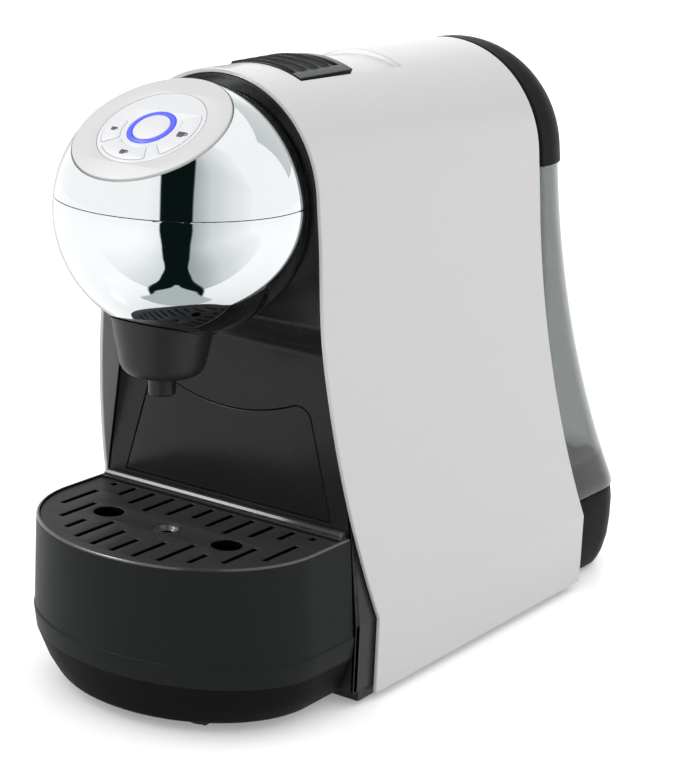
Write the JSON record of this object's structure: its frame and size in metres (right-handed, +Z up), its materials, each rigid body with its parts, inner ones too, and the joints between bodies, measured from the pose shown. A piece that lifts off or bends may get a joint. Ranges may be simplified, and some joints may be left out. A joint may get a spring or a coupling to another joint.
{
  "type": "pod coffee machine",
  "caption": "Pod coffee machine with a chrome ball head, round keypad, arched shell, lift-off grille, slide-out tray and pod bin, and a lidded rear water tank.",
  "frame": {"origin": "middle of the footprint, on the surface that it stands on", "axes": "+Z up, -Y to the front with the spout and drip tray, +X to the viewer's right when facing the front"},
  "size_m": [0.1562, 0.3686, 0.285],
  "materials": {
    "shell_white": "satin gloss injection-moulded",
    "chrome": "bright chrome plating",
    "black_satin": "satin moulded",
    "black_gloss": "gloss moulded",
    "trim_grey": "satin gloss",
    "keypad_white": "satin",
    "light_blue": "lit translucent diffuser",
    "tank_clear": "clear smoky plastic",
    "rubber": "moulded",
    "steel": "zinc plated",
    "aluminium": "die cast",
    "circuit_board": "solder resist",
    "inner_plastic": "glass-filled, moulded",
    "hose": "silicone",
    "pump_metal": "plated can"
  },
  "bodies": {
    "root": {"outer_shell": "shell_white", "pod_track": "shell_white", "head_upper": "chrome", "head_lower": "chrome", "front_panel": "black_satin", "rear_panel": "black_satin", "base_chassis": "black_satin", "brew_cup": "black_satin", "spout_nozzle": "black_satin", "rear_base": "black_gloss", "control_ring": "trim_grey", "keypad_frame": "keypad_white", "light_ring": "light_blue", "foot_front_left": "rubber", "foot_front_right": "rubber", "foot_rear_left": "rubber", "foot_rear_right": "rubber", "cord_gland": "rubber", "pump_mount_front": "rubber", "pump_mount_rear": "rubber", "frame_screw_1": "steel", "frame_screw_2": "steel", "frame_screw_3": "steel", "frame_screw_4": "steel", "rear_base_screw_1": "steel", "rear_base_screw_2": "steel", "thermoblock": "aluminium", "keypad_board": "circuit_board", "control_board": "circuit_board", "head_frame": "inner_plastic", "pod_chute": "inner_plastic", "valve_socket": "inner_plastic", "inner_frame": "inner_plastic", "brew_body": "inner_plastic", "gear_motor": "inner_plastic", "flow_meter": "inner_plastic", "outlet_tube": "hose", "hose_tank_to_meter": "hose", "hose_meter_to_pump": "hose", "hose_pump_to_heater": "hose", "hose_heater_to_brew": "hose", "pump": "pump_metal"},
    "drip_tray_body": {"drip_tray": "black_satin"},
    "grille_body": {"drip_grille": "black_satin"},
    "pod_bin_body": {"pod_bin": "black_satin"},
    "pod_cover_body": {"pod_cover": "black_gloss"},
    "tank_body": {"water_tank": "tank_clear", "tank_valve": "inner_plastic", "lid_hinge_pin": "steel"},
    "lid_body": {"tank_lid": "black_satin"},
    "power_button_body": {"power_button": "keypad_white"},
    "key_left_body": {"key_left": "keypad_white"},
    "key_front_body": {"key_front": "keypad_white"},
    "key_right_body": {"key_right": "keypad_white"},
    "ram_body": {"brew_ram": "inner_plastic"},
    "screw_body": {"drive_screw": "steel"}
  },
  "joints": [
    {"name": "drip_tray_slide", "type": "slide", "parent": "root", "child": "drip_tray_body", "axis": [0, -1, 0], "range_m": [0, 0.09]},
    {"name": "grille_lift", "type": "slide", "parent": "drip_tray_body", "child": "grille_body", "axis": [0, 0, 1], "range_m": [0, 0.028]},
    {"name": "pod_bin_slide", "type": "slide", "parent": "root", "child": "pod_bin_body", "axis": [0, 1, 0], "range_m": [-0.088, 0]},
    {"name": "pod_cover_slide", "type": "slide", "parent": "root", "child": "pod_cover_body", "axis": [0, 1, 0], "range_m": [0, 0.038]},
    {"name": "tank_lift", "type": "slide", "parent": "root", "child": "tank_body", "axis": [0, 0, 1], "range_m": [0, 0.1]},
    {"name": "tank_lid_hinge", "type": "hinge", "parent": "tank_body", "child": "lid_body", "pos_m": [0, 0.12925, 0.2236], "axis": [-1, 0, 0], "range_deg": [0, 100]},
    {"name": "power_button_press", "type": "slide", "parent": "root", "child": "power_button_body", "axis": [0, 0.5045, -0.8634], "range_m": [0, 0.001], "stiffness_N_per_m": 400, "springref_m": -0.0005},
    {"name": "key_left_press", "type": "slide", "parent": "root", "child": "key_left_body", "axis": [0, 0.5045, -0.8634], "range_m": [0, 0.001], "stiffness_N_per_m": 400, "springref_m": -0.0005},
    {"name": "key_front_press", "type": "slide", "parent": "root", "child": "key_front_body", "axis": [0, 0.5045, -0.8634], "range_m": [0, 0.001], "stiffness_N_per_m": 400, "springref_m": -0.0005},
    {"name": "key_right_press", "type": "slide", "parent": "root", "child": "key_right_body", "axis": [0, 0.5045, -0.8634], "range_m": [0, 0.001], "stiffness_N_per_m": 400, "springref_m": -0.0005},
    {"name": "ram_slide", "type": "slide", "parent": "root", "child": "ram_body", "axis": [0, -1, 0], "range_m": [0, 0.021]},
    {"name": "screw_spin", "type": "hinge", "parent": "root", "child": "screw_body", "pos_m": [0, 0.01115, 0.215], "axis": [0, 1, 0], "range_deg": [0, 640]}
  ],
  "couplings": [
    {"joint": "screw_spin", "follows": "ram_slide", "rad_per_m": 523.6}
  ]
}
